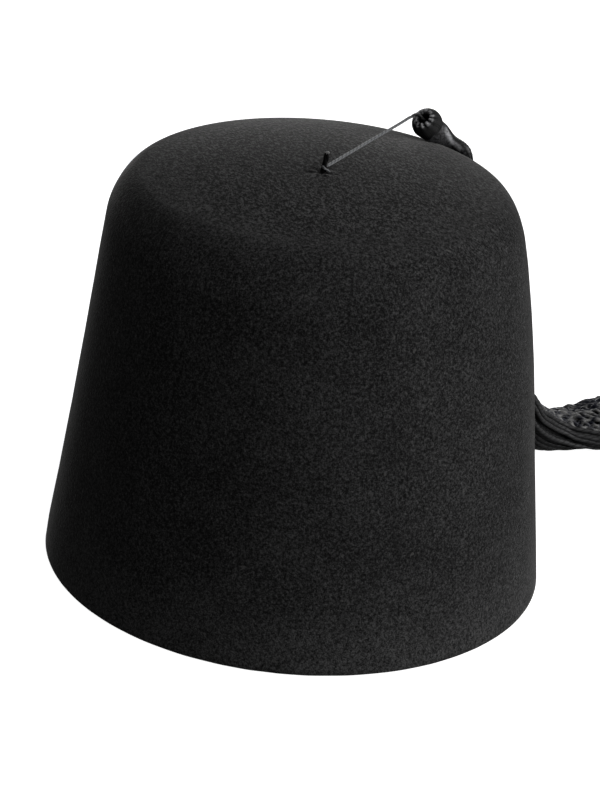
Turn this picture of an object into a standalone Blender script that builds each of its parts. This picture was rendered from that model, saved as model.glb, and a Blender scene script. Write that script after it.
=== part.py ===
"""A felt hat with no brim: a tapered, oval crown with a soft shoulder and a low dome, hollow and open
below; a short stem at the middle of its top; a thin cord, tied round the stem and led to a barrel
bead; the bead, which lies on the edge of the shoulder; and a tassel, whose wound neck comes out of
the bead, and whose skirt of locks runs down the wall and along the surface the hat stands on.

Metres, +Z up, the hat's front towards -Y. Rim and tassel rest on z = 0. The shapes are worked out
about the hat's own upright axis, and an empty then carries them all, so that the origin is the
middle of the foot of the box round the crown, stem, bead and tassel."""

import math

import bmesh
import bpy
import numpy as np
from mathutils import Vector

# Crown, measured outside the felt.
BASE_LENGTH = 0.193  # front to back at the rim
BASE_WIDTH = 0.177  # side to side at the rim
TOP_LENGTH = 0.154  # where the line of the wall meets the plane of the top
TOP_WIDTH = 0.141
WALL_HEIGHT = 0.1403  # from the rim to that plane
DOME_RISE = 0.0079  # of the top's middle over that plane
WALL_BULGE = 0.0010  # outwards at half height
SHOULDER_DROP = 0.0137  # from the plane down to where the shoulder starts
SHOULDER_RUN = 0.0078  # from the corner in to where the shoulder ends
FELT = 0.0025
CROWN_SIDES = 64
WALL_RINGS, SHOULDER_RINGS, TOP_RINGS = 7, 7, 6

# Gaps between neighbours.
GAP = 0.0003
REST_GAP = 0.0002  # between the tassel and the surface

# Stem, turned about a line that leans to the hat's right. Rows run from foot to tip.
STEM_FORWARD = 0.0055  # of the middle of the top
STEM_LEAN = 13.0  # degrees
STEM_SIDES = 12
STEM_PROFILE = (
    # height, radius, both in millimetres
    (0.0, 1.3),
    (0.3, 1.9),
    (1.5, 1.9),
    (2.0, 1.2),
    (5.2, 1.1),
    (6.1, 0.8),
    (6.5, 0.4),
)

# Bead: nearly a ball, with a bore. It lies on the shoulder, and its face looks up and inwards.
BEAD_TURN = 45.4  # degrees from +X, seen from above, of where it lies
BEAD_CLIMB = 2.02  # how far up the crown's outline that is: 1 to 2 is the shoulder
BEAD_HEADING = 46.0  # degrees from +X of its axis, from the face to the low end
BEAD_DIP = 45.0  # degrees below level
BEAD_STAND = 0.00575  # from the felt to its middle
BEAD_LENGTH = 0.0080
BEAD_BORE = 0.0020  # radius
BEAD_SIDES = 20
BEAD_PROFILE = (
    # share of the length from the face, radius in millimetres
    (0.00, 3.6),
    (0.08, 4.4),
    (0.28, 5.3),
    (0.50, 5.6),
    (0.72, 5.2),
    (0.92, 4.3),
    (1.00, 3.6),
)

# Cord, from the stem's foot to the bore of the bead.
CORD_RADIUS = 0.00055
CORD_HEIGHT = 0.0009  # over the felt where it leaves the stem
CORD_STRAIGHT = (0.0, 0.3, 0.6, 0.85, 0.95, 0.985)  # shares of the way to the lip that lie in one line
CORD_POINTS = 36
CORD_CROWDING = 1.5  # points lie closer together towards the bead as this grows
MOUTH_ROWS = (
    # where the cord's middle turns over the lip: distance from the bead's axis and past its face, in
    # millimetres
    (3.6, -1.25),
    (2.7, -1.25),
    (1.7, -0.80),
    (1.1, 0.1),
    (0.8, 1.2),
    (0.2, 3.4),
    (0.0, 6.0),
    (0.0, 9.6),
)
MOUTH_RISE = 0.1  # the lip is crossed this much upwards for each part sideways

# Tassel. Its neck starts against the bead, with an end hollowed to go round it; the route then goes
# over the shoulder, swings out from the wall and lies on the surface. Half width is across the
# route, half thickness through it.
NECK_HEADING = 6.0  # degrees, of the neck, seen from the bead's middle
NECK_DIP = 35.0
NECK_HOLLOW = 0.0010
NECK_ROWS = (
    # distance from the bead's middle, half width, half thickness, all in millimetres
    (5.1, 3.6, 3.6),
    (6.5, 3.5, 3.5),
    (8.5, 2.9, 2.9),
)
BEND_ROWS = (
    # x, y and height of the middle, heading in degrees, half width and half thickness, millimetres
    (52.9, 49.4, 141.6, 38.0, 2.7, 2.5),
    (56.2, 48.0, 139.3, 38.0, 4.4, 2.6),
)
CROWN_ROWS = (
    # turn in degrees, climb, then half width and half thickness in millimetres
    (39.8, 1.22, 5.4, 2.8),
    (39.2, 0.98, 6.6, 3.2),
    (38.8, 0.80, 8.0, 3.8),
)
FALL_ROWS = (
    # x, y and height of the middle, heading in degrees, half width and half thickness, millimetres
    (69.7, 57.4, 70.0, 40.0, 9.0, 4.6),
    (77.3, 64.4, 50.0, 40.0, 9.6, 5.2),
    (89.9, 74.7, 33.0, 40.5, 10.4, 5.6),
    (96.9, 85.5, 18.6, 41.0, 11.2, 7.7),
    (102.7, 92.9, 12.0, 39.0, 12.0, 8.4),
    (112.2, 100.4, 7.5, 33.0, 13.0, 7.1),
    (122.7, 103.4, 7.4, 24.0, 14.6, 6.9),
    (134.4, 106.4, 6.9, 13.0, 17.6, 8.2),
    (152.0, 110.5, 6.3, 5.0, 18.5, 6.1),
    (170.0, 111.5, 5.8, 2.0, 19.5, 5.6),
)
LOCKS = 11
POINTS_PER_LOCK = 4
LOCK_DEPTH = (0.04, 0.22)  # share of the half width, at the neck and at the cut end
LOCK_TWIST = 30.0  # degrees, over the whole skirt
STATIONS = 40
STATION_CROWDING = 1.7  # stations lie closer together towards the neck as this grows
CROWN_HEADING = 38.0  # degrees: the way the tassel faces while it lies on the wall

MM = 0.001
QUARTER_ARC = math.sqrt(0.5)  # weight of the middle point of a conic that rounds like a circle


def clear_scene():
    for thing in list(bpy.data.objects):
        bpy.data.objects.remove(thing, do_unlink=True)


def felt_material():
    return principled("black_felt", (0.016, 0.016, 0.016), 0.95)


def thread_material():
    return principled("black_thread", (0.022, 0.023, 0.026), 0.55)


def wound_material():
    return principled("wound_black_thread", (0.012, 0.012, 0.014), 0.40)


def cord_material():
    return principled("grey_cord", (0.12, 0.13, 0.14), 0.38)


def stem_material():
    return principled("stem_black", (0.010, 0.010, 0.010), 0.70)


def principled(name, colour, roughness):
    material = bpy.data.materials.new(name)
    material.use_nodes = True
    shader = material.node_tree.nodes["Principled BSDF"]
    shader.inputs["Base Color"].default_value = (*colour, 1.0)
    shader.inputs["Roughness"].default_value = roughness
    shader.inputs["Metallic"].default_value = 0.0
    return material


def crown_profile(climb):
    """Mean radius and height of the crown's outline. Climb runs 0 to 1 up the wall, 1 to 2 round the
    shoulder, which is a conic, and 2 to 3 across the top to the middle."""
    climb = np.asarray(climb, dtype=float)
    base, corner = (BASE_LENGTH + BASE_WIDTH) / 4, (TOP_LENGTH + TOP_WIDTH) / 4
    slant = math.atan2(base - corner, WALL_HEIGHT)
    start = np.array([corner + SHOULDER_DROP * math.sin(slant), WALL_HEIGHT - SHOULDER_DROP * math.cos(slant)])
    peak = np.array([corner, WALL_HEIGHT])
    end = np.array([corner - SHOULDER_RUN, WALL_HEIGHT])

    wall = np.clip(climb, 0, 1)[..., None]
    bend = np.clip(climb - 1, 0, 1)[..., None]
    across = np.clip(climb - 2, 0, 1)[..., None]
    straight = np.array([base, 0.0]) * (1 - wall) + start * wall
    first, middle, last = (1 - bend) ** 2, 2 * QUARTER_ARC * bend * (1 - bend), bend**2
    conic = (first * start + middle * peak + last * end) / (first + middle + last)
    top = end * (1 - across) + np.array([0.0, WALL_HEIGHT]) * across
    where = climb[..., None]
    radius, height = np.moveaxis(np.where(where < 1, straight, np.where(where < 2, conic, top)), -1, 0)

    radius = radius + WALL_BULGE * np.sin(np.pi * np.clip(height / WALL_HEIGHT, 0, 1))
    dome = DOME_RISE * (1 - np.clip(radius / corner, 0, 1) ** 2)
    return radius, height + dome * np.clip(2 * height / WALL_HEIGHT - 1, 0, 1)


def crown_point(turn, climb):
    """A point of the crown's outside: the profile's radius, drawn out into an oval whose two half
    axes go from the rim's to the top's with the height. Turn is in radians from +X."""
    radius, height = crown_profile(climb)
    base = (BASE_LENGTH - BASE_WIDTH) / (BASE_LENGTH + BASE_WIDTH)
    top = (TOP_LENGTH - TOP_WIDTH) / (TOP_LENGTH + TOP_WIDTH)
    oval = base + (top - base) * np.clip(height / WALL_HEIGHT, 0, 1)
    sideways, forwards = radius * (1 - oval) * np.cos(turn), radius * (1 + oval) * np.sin(turn)
    return np.stack(np.broadcast_arrays(sideways, forwards, height), axis=-1)


def crown_normal(turn, climb):
    """The way out of the felt, from the crown's two tangents, each a central difference."""
    step = 1e-4
    climb = np.minimum(climb, 3 - 2 * step)
    around = crown_point(turn + step, climb) - crown_point(turn - step, climb)
    upwards = crown_point(turn, climb + step) - crown_point(turn, climb - step)
    return unit(np.cross(around, upwards))


def unit(vectors):
    return vectors / np.linalg.norm(vectors, axis=-1, keepdims=True)


def heading(degrees, dip=0.0):
    """The direction so many degrees round from +X and so many below level."""
    around, down = np.broadcast_arrays(np.radians(degrees), np.radians(dip))
    return np.stack([np.cos(around) * np.cos(down), np.sin(around) * np.cos(down), -np.sin(down)], axis=-1)


def smooth_rows(rows, shares):
    """Rows read off natural cubics through the given ones, whose first three columns are a place. The
    cubics run on the distance between places, and the new rows lie at these shares of the whole."""
    rows = np.asarray(rows, dtype=float)
    along = np.concatenate([[0.0], np.cumsum(np.linalg.norm(np.diff(rows[:, :3], axis=0), axis=1))])
    width = np.diff(along)
    count = len(rows)
    system, pull = np.eye(count), np.zeros_like(rows)
    for i in range(1, count - 1):
        system[i, i - 1 : i + 2] = width[i - 1], 2 * (width[i - 1] + width[i]), width[i]
        pull[i] = 6 * ((rows[i + 1] - rows[i]) / width[i] - (rows[i] - rows[i - 1]) / width[i - 1])
    bend = np.linalg.solve(system, pull)

    at = along[-1] * np.asarray(shares)
    piece = np.clip(np.searchsorted(along, at, side="right") - 1, 0, count - 2)
    gone, left, span = (v[:, None] for v in (at - along[piece], along[piece + 1] - at, width[piece]))
    curve = (bend[piece] * left**3 + bend[piece + 1] * gone**3) / (6 * span)
    return (
        curve
        + (rows[piece] / span - bend[piece] * span / 6) * left
        + (rows[piece + 1] / span - bend[piece + 1] * span / 6) * gone
    )


def ring_body(rings, first_end, last_end):
    """One closed body through rings of points, each ring joined to the next by quads, with a fan to an
    end point at each end."""
    body = bmesh.new()
    loops = [[body.verts.new(Vector(point)) for point in ring] for ring in rings]
    for low, high in zip(loops, loops[1:]):
        for i in range(len(low)):
            j = (i + 1) % len(low)
            body.faces.new((low[i], low[j], high[j], high[i]))
    for loop, end in ((loops[0], first_end), (loops[-1], last_end)):
        tip = body.verts.new(Vector(end))
        for i in range(len(loop)):
            body.faces.new((loop[i], loop[(i + 1) % len(loop)], tip))
    bmesh.ops.recalc_face_normals(body, faces=body.faces)
    return body


def spun_body(outline, sides):
    """One closed body from a closed outline of (radius, height) pairs, spun about +Z."""
    body = bmesh.new()
    corners = [body.verts.new((radius, 0.0, height)) for radius, height in outline]
    edges = [body.edges.new((corners[i], corners[(i + 1) % len(corners)])) for i in range(len(corners))]
    bmesh.ops.spin(
        body, geom=corners + edges, angle=math.tau, steps=sides, axis=(0, 0, 1), cent=(0, 0, 0), use_merge=True
    )
    bmesh.ops.remove_doubles(body, verts=body.verts, dist=1e-6)
    bmesh.ops.recalc_face_normals(body, faces=body.faces)
    return body


def add_piece(name, body, material, parent):
    mesh = bpy.data.meshes.new(name)
    body.to_mesh(mesh)
    body.free()
    mesh.materials.append(material)
    mesh.shade_smooth()
    mesh.set_sharp_from_angle(angle=math.radians(40))
    piece = bpy.data.objects.new(name, mesh)
    piece.parent = parent
    bpy.context.collection.objects.link(piece)
    return piece


def make_crown(parent):
    """The felt shell: the outside, and the inside one felt thickness within it, joined at a flat rim."""
    climbs = np.concatenate(
        [
            np.linspace(0, 1, WALL_RINGS, endpoint=False),
            np.linspace(1, 2, SHOULDER_RINGS, endpoint=False),
            np.linspace(2, 3, TOP_RINGS, endpoint=False),
        ]
    )[:, None]
    turns = np.arange(CROWN_SIDES) * math.tau / CROWN_SIDES
    outside = crown_point(turns, climbs)
    inside = outside - FELT * crown_normal(turns, climbs)
    inside[0, :, 2] = 0.0
    peak = crown_point(0.0, 3.0)
    body = ring_body([*outside[::-1], *inside], peak, peak - [0, 0, FELT])
    return add_piece("crown", body, felt_material(), parent)


def stem_foot():
    """Where the stem stands: the felt under a point just forward of the middle of the top."""
    forwards = -STEM_FORWARD
    top_half_length = TOP_LENGTH / 2 - SHOULDER_RUN
    return crown_point(math.pi * 1.5, 3.0 + forwards / top_half_length)


def make_stem(parent):
    foot = stem_foot() + [0, 0, GAP]
    outline = [(0.0, 0.0)]
    outline += [(radius * MM, height * MM) for height, radius in STEM_PROFILE]
    outline += [(0.0, STEM_PROFILE[-1][0] * MM)]
    stem = add_piece("stem", spun_body(outline, STEM_SIDES), stem_material(), parent)
    stem.rotation_euler = (0.0, math.radians(STEM_LEAN), 0.0)
    # The lean lowers the foot's right edge, so the foot stands higher by that much.
    sink = STEM_PROFILE[0][1] * MM * math.sin(math.radians(STEM_LEAN))
    stem.location = foot + [0, 0, sink]
    return stem


def bead_ends():
    """The middles of the bead's face and of its low end, and its axis from one to the other."""
    turn = math.radians(BEAD_TURN)
    middle = crown_point(turn, BEAD_CLIMB) + BEAD_STAND * crown_normal(turn, BEAD_CLIMB)
    axis = heading(BEAD_HEADING, BEAD_DIP)
    return middle - axis * BEAD_LENGTH / 2, middle + axis * BEAD_LENGTH / 2, axis


def make_bead(parent):
    face, _, axis = bead_ends()
    outline = [(radius * MM, share * BEAD_LENGTH) for share, radius in BEAD_PROFILE]
    outline += [(BEAD_BORE, BEAD_LENGTH), (BEAD_BORE, 0.0)]
    bead = add_piece("bead", spun_body(outline, BEAD_SIDES), wound_material(), parent)
    bead.rotation_euler = Vector(axis).to_track_quat("Z", "Y").to_euler()
    bead.location = face
    return bead


def cord_route():
    """Points along the cord: straight from the stem to the lip of the bead, over it and into the bore."""
    face, _, axis = bead_ends()
    foot = stem_foot()
    span = unit((face - foot) * [1, 1, 0])
    stem_radius = STEM_PROFILE[2][1] * MM
    start = foot + span * (stem_radius + GAP + 0.0002) + [0, 0, CORD_HEIGHT + GAP]
    across = unit(np.cross(axis, [0.0, 0.0, 1.0]))
    to_lip = unit(MOUTH_RISE * unit(np.cross(across, axis)) - across)
    mouth = [face + to_lip * off * MM + axis * past * MM for off, past in MOUTH_ROWS]
    straight = [start + (mouth[0] - start) * share for share in CORD_STRAIGHT]
    shares = 1 - np.linspace(1, 0, CORD_POINTS) ** CORD_CROWDING
    return smooth_rows([*straight, *mouth], shares)


def make_cord(parent):
    route = cord_route()
    curve = bpy.data.curves.new("cord", "CURVE")
    curve.dimensions = "3D"
    curve.bevel_depth = CORD_RADIUS
    curve.bevel_resolution = 2
    curve.resolution_u = 1
    curve.render_resolution_u = 0
    curve.use_fill_caps = True
    line = curve.splines.new("POLY")
    line.points.add(len(route) - 1)
    line.points.foreach_set("co", np.column_stack([route, np.ones(len(route))]).ravel())
    curve.materials.append(cord_material())
    cord = bpy.data.objects.new("cord", curve)
    cord.parent = parent
    bpy.context.collection.objects.link(cord)
    return cord


def tassel_rows():
    """Place, heading, half width and half thickness all along the tassel, evenly spaced."""
    middle = sum(bead_ends()[:2]) / 2
    along = heading(NECK_HEADING, NECK_DIP)
    rows = [(*(middle + along * past * MM), CROWN_HEADING, wide, thick) for past, wide, thick in NECK_ROWS]
    rows += [(x * MM, y * MM, z * MM, *shape) for x, y, z, *shape in BEND_ROWS]
    for turn, climb, wide, thick in CROWN_ROWS:
        where = math.radians(turn)
        seat = crown_point(where, climb) + (thick * MM + GAP) * crown_normal(where, climb)
        rows.append((*seat, CROWN_HEADING, wide, thick))
    rows += [(x * MM, y * MM, z * MM, *shape) for x, y, z, *shape in FALL_ROWS]
    rows = smooth_rows(rows, np.linspace(0, 1, STATIONS) ** STATION_CROWDING)
    rows[:, 2] = np.maximum(rows[:, 2], rows[:, 5] * MM + REST_GAP)
    return rows


def tassel_rings():
    """Rings round the route. Each is an oval, half width by half thickness, scalloped into locks whose
    depth grows towards the cut end and which turn slowly about the route."""
    rows = tassel_rows()
    place, half_width, half_thick = rows[:, :3], rows[:, 4, None] * MM, rows[:, 5, None] * MM
    forwards = unit(np.gradient(place, axis=0))
    level = np.cross([0.0, 0.0, 1.0], heading(rows[:, 3]))
    outwards = unit(np.cross(forwards, level))
    sideways = np.cross(outwards, forwards)

    around = np.arange(LOCKS * POINTS_PER_LOCK) * math.tau / (LOCKS * POINTS_PER_LOCK)
    share = np.linspace(0, 1, len(rows))[:, None]
    depth = LOCK_DEPTH[0] + (LOCK_DEPTH[1] - LOCK_DEPTH[0]) * share
    scallop = 1 - depth * (1 - np.abs(np.cos(LOCKS * around / 2)))
    angle = around + math.radians(LOCK_TWIST) * share
    across = (half_width * scallop * np.cos(angle))[..., None] * sideways[:, None]
    through = (half_thick * scallop * np.sin(angle))[..., None] * outwards[:, None]
    hollow_end = place[0] + forwards[0] * NECK_HOLLOW
    return place[:, None] + across + through, hollow_end, place[-1]


def make_tassel(parent):
    return add_piece("tassel", ring_body(*tassel_rings()), thread_material(), parent)


def centre_on_origin(carrier, pieces):
    """Moves the carrier so that the middle of the foot of the box round the pieces is the origin."""
    bpy.context.view_layer.update()
    corners = np.array([piece.matrix_world @ vertex.co for piece in pieces for vertex in piece.data.vertices])
    low, high = corners.min(axis=0), corners.max(axis=0)
    carrier.location = (-(low[0] + high[0]) / 2, -(low[1] + high[1]) / 2, -low[2])


def main():
    clear_scene()
    carrier = bpy.data.objects.new("hat_axis", None)
    bpy.context.collection.objects.link(carrier)
    pieces = [make_crown(carrier), make_stem(carrier), make_bead(carrier), make_tassel(carrier)]
    make_cord(carrier)
    centre_on_origin(carrier, pieces)


if __name__ == "__main__":
    main()
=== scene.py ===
"""A black felt fez with a corded tassel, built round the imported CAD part. Blender 4.5.

Every piece is a surface worked out with numpy: a grid of points, or rings carried along a path. The
crown, stem, cord, bead, neck and strands each have an operator, and main calls them in order."""

import math

import bpy
import numpy as np
from bpy.props import FloatProperty, FloatVectorProperty, IntProperty, PointerProperty
from mathutils import Matrix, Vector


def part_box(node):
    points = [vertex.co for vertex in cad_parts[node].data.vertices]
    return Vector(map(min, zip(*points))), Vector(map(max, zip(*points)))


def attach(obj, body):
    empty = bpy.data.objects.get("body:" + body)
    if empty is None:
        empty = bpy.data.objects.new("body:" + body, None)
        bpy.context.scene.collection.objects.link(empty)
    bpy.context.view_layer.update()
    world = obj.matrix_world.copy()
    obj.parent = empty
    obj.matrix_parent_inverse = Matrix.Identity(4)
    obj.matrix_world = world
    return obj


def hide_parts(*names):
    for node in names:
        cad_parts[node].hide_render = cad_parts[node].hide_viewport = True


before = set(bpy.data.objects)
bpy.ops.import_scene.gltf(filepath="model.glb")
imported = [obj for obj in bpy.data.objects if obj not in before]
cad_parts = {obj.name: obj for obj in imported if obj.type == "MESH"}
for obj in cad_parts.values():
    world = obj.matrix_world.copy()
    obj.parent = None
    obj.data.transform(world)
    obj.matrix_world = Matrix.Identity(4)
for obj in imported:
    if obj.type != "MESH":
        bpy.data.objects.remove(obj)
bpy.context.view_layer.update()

bl_info = {
    "name": "Felt fez",
    "version": (1, 0, 0),
    "blender": (4, 5, 0),
    "location": "View3D > Sidebar > Fez",
    "description": "Builds a felt fez with a wound bead and a corded tassel",
    "category": "Object",
}

MM = 0.001
CROWN_LOW, CROWN_HIGH = (np.array(corner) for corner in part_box("crown"))
HAT_AXIS = np.array([*(CROWN_LOW + CROWN_HIGH)[:2] / 2, 0.0])
REST_GAP = 0.0002  # between a strand and the surface


# Sizes and colours.


def length(name, description, default):
    return FloatProperty(
        name=name, description=description, default=default, unit="LENGTH", precision=5, min=0.0
    )


def colour(name, description, default):
    return FloatVectorProperty(
        name=name, description=description, default=default, subtype="COLOR", size=3, min=0.0, max=1.0
    )


class CrownSettings(bpy.types.PropertyGroup):
    base_length: length("Base length", "Front to back at the rim, outside the felt", 0.193)
    base_width: length("Base width", "Side to side at the rim, outside the felt", 0.177)
    top_length: length("Top length", "Front to back where the wall's line meets the plane of the top", 0.154)
    top_width: length("Top width", "Side to side where the wall's line meets the plane of the top", 0.141)
    wall_height: length("Wall height", "From the rim to the plane of the top", 0.1403)
    dome_rise: length("Dome rise", "Of the top's middle over its plane", 0.0079)
    wall_bulge: length("Wall bulge", "Outwards at half height", 0.0010)
    shoulder_drop: length("Shoulder drop", "From the top's plane down to where the shoulder starts", 0.0137)
    shoulder_run: length("Shoulder run", "From the corner in to where the shoulder ends", 0.0078)
    shoulder_soft: length("Shoulder soft", "By how much both grow in front", 0.0040)
    felt: length("Felt", "Thickness of the felt", 0.0025)
    edge: length("Edge", "How far up the cut edge is rounded", 0.0006)
    wave: length("Wave", "How far the felt swells and sinks", 0.00018)
    dimple: length("Dimple", "How deep the stem's hole sinks into the top", 0.0008)
    felt_colour: colour("Felt colour", "Dark of the felt", (0.0180, 0.0180, 0.0182))
    fibre_colour: colour("Fibre colour", "Lighter fibres on the felt", (0.060, 0.059, 0.058))


class CordSettings(bpy.types.PropertyGroup):
    cord_diameter: length("Cord diameter", "Of the cord from stem to bead", 0.0011)
    cord_pitch: length("Cord pitch", "Along the cord for one turn of its plies", 0.0026)
    stem_height: length("Stem height", "Of the stub that stands on the top", 0.0066)
    stem_radius: length("Stem radius", "Of the stub", 0.0010)
    cord_colour: colour("Cord colour", "Of the cord", (0.100, 0.104, 0.109))
    stem_colour: colour("Stem colour", "Of the stub", (0.003, 0.003, 0.0033))


class BeadSettings(bpy.types.PropertyGroup):
    wraps: IntProperty(name="Wraps", description="Thick threads over the bead's lip", default=11, min=4)
    wrap_height: length("Wrap height", "How far each thread stands out at the lip", 0.00080)
    thread_pitch: length("Thread pitch", "From one turn of the neck's thread to the next", 0.00055)
    bead_colour: colour("Bead colour", "Of the threads on the bead's barrel", (0.006, 0.006, 0.0063))
    # painted highlight: the threads are pale where they turn over the lip, for the light that they catch
    # there
    lip_highlight_colour: colour("Lip colour", "Of the threads where they turn over the bead's lip", (0.30, 0.30, 0.31))
    neck_colour: colour("Neck colour", "Of the thread wound round the neck", (0.018, 0.018, 0.019))
    # painted highlight: the pale band down the neck stands in for the gloss of the wound thread
    neck_highlight_colour: colour("Floss colour", "Of the pale floss that runs down the neck", (0.32, 0.32, 0.33))


class TasselSettings(bpy.types.PropertyGroup):
    strands: IntProperty(name="Strands", description="Cords in the skirt", default=100, min=20)
    thickest: length("Thickest", "Greatest radius of a strand", 0.00080)
    fill: FloatProperty(
        name="Fill",
        description="How much of each section the strands take up",
        default=0.76,
        subtype="FACTOR",
        min=0.0,
        max=1.0,
    )
    turn: FloatProperty(
        name="Turn",
        description="Of the skirt about its line, where it lands",
        default=math.radians(46),
        subtype="ANGLE",
    )
    strand_pitch: length("Strand pitch", "Along a strand for one turn of its plies", 0.0030)
    crimped_pitch: length("Crimped pitch", "The same for a crimped strand", 0.0040)
    strand_colour: colour("Strand colour", "Of the strands", (0.0185, 0.0185, 0.0190))
    shadow_colour: colour("Shadow colour", "Dark of the crimped strands", (0.006, 0.007, 0.014))
    # painted highlight: the light end of the crimped strands stands in for the highlights on their crimp
    crimp_highlight_colour: colour("Crimped colour", "Light of the crimped strands", (0.162, 0.160, 0.158))


class StageSettings(bpy.types.PropertyGroup):
    floor: length("Floor", "Width of the floor", 6.0)
    light: FloatProperty(
        name="Light", description="Of all the soft boxes together", default=32.0, subtype="POWER"
    )
    ambient: FloatProperty(name="Ambient", description="Light from all round", default=0.104, min=0.0)


# Shader graphs.


class Term:
    """A socket of a graph. Its operators add the Math nodes that work out the expression."""

    def __init__(self, graph, socket):
        self.graph, self.socket = graph, socket

    def maths(self, operation, *terms, clamp=False):
        return self.graph.node("ShaderNodeMath", {"operation": operation, "use_clamp": clamp}, terms)

    def __add__(self, other):
        return self.maths("ADD", self, other)

    def __sub__(self, other):
        return self.maths("SUBTRACT", self, other)

    def __rsub__(self, other):
        return self.maths("SUBTRACT", other, self)

    def __mul__(self, other):
        return self.maths("MULTIPLY", self, other)

    def __truediv__(self, other):
        return self.maths("DIVIDE", self, other)

    def __pow__(self, other):
        return self.maths("POWER", self, other)

    def sine(self):
        return self.maths("SINE", self)

    def size(self):
        return self.maths("ABSOLUTE", self)

    def held(self):
        """Held between 0 and 1."""
        return self.maths("ADD", self, 0.0, clamp=True)

    def between(self, low, high):
        """0 at low and below, 1 at high and above, smooth in between."""
        return self.graph.node(
            "ShaderNodeMapRange",
            {"interpolation_type": "SMOOTHSTEP"},
            {"Value": self, "From Min": low, "From Max": high},
        )


class Graph:
    """The nodes of a material or of the world, round its main shader."""

    def __init__(self, owner, shader="Principled BSDF", **inputs):
        owner.use_nodes = True
        self.owner, self.tree = owner, owner.node_tree
        self.shader = self.tree.nodes[shader]
        self.set(**inputs)

    def node(self, kind, settings=None, inputs=(), output=0):
        """Adds a node, gives it its settings and its sockets' values or links, and returns an output."""
        node = self.tree.nodes.new(kind)
        for setting, value in (settings or {}).items():
            setattr(node, setting, value)
        for socket, value in inputs.items() if isinstance(inputs, dict) else enumerate(inputs):
            self.feed(node.inputs[socket], value)
        return Term(self, node.outputs[output])

    def feed(self, socket, value):
        if isinstance(value, Term):
            self.tree.links.new(value.socket, socket)
        elif socket.type == "RGBA" and len(value) == 3:
            socket.default_value = (*value, 1.0)
        else:
            socket.default_value = value

    def set(self, **inputs):
        for socket, value in inputs.items():
            self.feed(self.shader.inputs[socket.replace("_", " ")], value)
        return self.owner

    def place(self):
        """Object coordinates: metres in the row's frame."""
        return self.node("ShaderNodeTexCoord", output="Object")

    def parts(self, vector):
        """The three numbers of a vector."""
        split = self.node("ShaderNodeSeparateXYZ", {}, (vector,)).socket.node
        return [Term(self, output) for output in split.outputs]

    def around_along(self):
        """The map's two numbers: u goes once round a piece, and v is the length along it in metres."""
        return self.parts(self.node("ShaderNodeUVMap", {"uv_map": "UVMap"}))[:2]

    def attribute(self, name):
        return self.node("ShaderNodeAttribute", {"attribute_name": name}, output="Fac")

    def noise(self, vector, scale, detail, roughness):
        inputs = {"Vector": vector, "Scale": scale, "Detail": detail, "Roughness": roughness}
        return self.node("ShaderNodeTexNoise", {"noise_dimensions": "3D"}, inputs)

    def mix(self, factor, first, second):
        """A colour between two, by a factor."""
        inputs = {"Factor": factor, 6: first, 7: second}
        return self.node("ShaderNodeMix", {"data_type": "RGBA"}, inputs, output=2)

    def bump(self, height, distance):
        return self.node("ShaderNodeBump", {}, {"Height": height, "Distance": distance, "Strength": 0.8})


def shade(base, times):
    """A colour so many times as light."""
    return tuple(min(1.0, part * times) for part in base)


def felt_material(crown):
    """Pressed wool: a dark ground with a mottle a little under a millimetre across, which is brushed
    front to back on the top and more so behind, clouds in it and, far apart, light specks. Painted light
    is added: lighter towards the cut edge for light bounced up from the floor, a painted highlight across
    the shoulder, and painted shade, near black, where the felt dips into the stem's hole."""
    graph = Graph(bpy.data.materials.new("wool_felt"), Roughness=0.95, Specular_IOR_Level=0.08)
    graph.set(Sheen_Weight=0.33, Sheen_Roughness=0.25, Sheen_Tint=(1.0, 0.99, 0.98))
    place = graph.place()
    across, back, height = graph.parts(place)
    top, hole = graph.attribute("top"), graph.attribute("hole")
    drawn_out = back * (0.431 - back * 1.215)
    brushed = graph.node("ShaderNodeCombineXYZ", {}, {"X": across, "Y": drawn_out, "Z": height})

    def grain(scale, brushed_scale):
        """A noise whose spots are drawn out front to back on the top."""
        plain = graph.noise(place, scale, 1.0, 0.5)
        return plain + (graph.noise(brushed, brushed_scale, 1.0, 0.5) - plain) * top

    mottle, nap = grain(960.0, 940.0), grain(2100.0, 1900.0)
    cloud = graph.noise(place, 55.0, 3.0, 0.6)
    specks = graph.noise(place, 540.0, 0.0, 0.5).between(0.80, 0.86) * 0.8
    # painted light: the felt is lighter towards the cut edge, standing in for light bounced up from the floor
    edge = 1.0 - height.between(0.0, 0.040)
    tone = (mottle - 0.5) * (top + 1.25) + (nap - 0.5) * (top * 0.9 + 1.5) + (cloud - 0.5) * 0.35
    # painted highlight: top - top * top lightens the band round the shoulder
    tone = (tone + edge * 0.20 + (top - top * top) * 0.36 + 0.437).held() ** 1.7
    ground = graph.mix(tone, shade(crown.felt_colour, 0.24), shade(crown.felt_colour, 3.4))
    felt = graph.mix(specks, ground, crown.fibre_colour)
    bump = graph.bump((mottle - 0.5) + (nap - 0.5) * 0.5, 0.00026)
    # painted shade: the felt turns near black where it dips into the stem's hole
    return graph.set(Base_Color=graph.mix(hole, felt, (0.0008, 0.0008, 0.0008)), Normal=bump)


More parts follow.
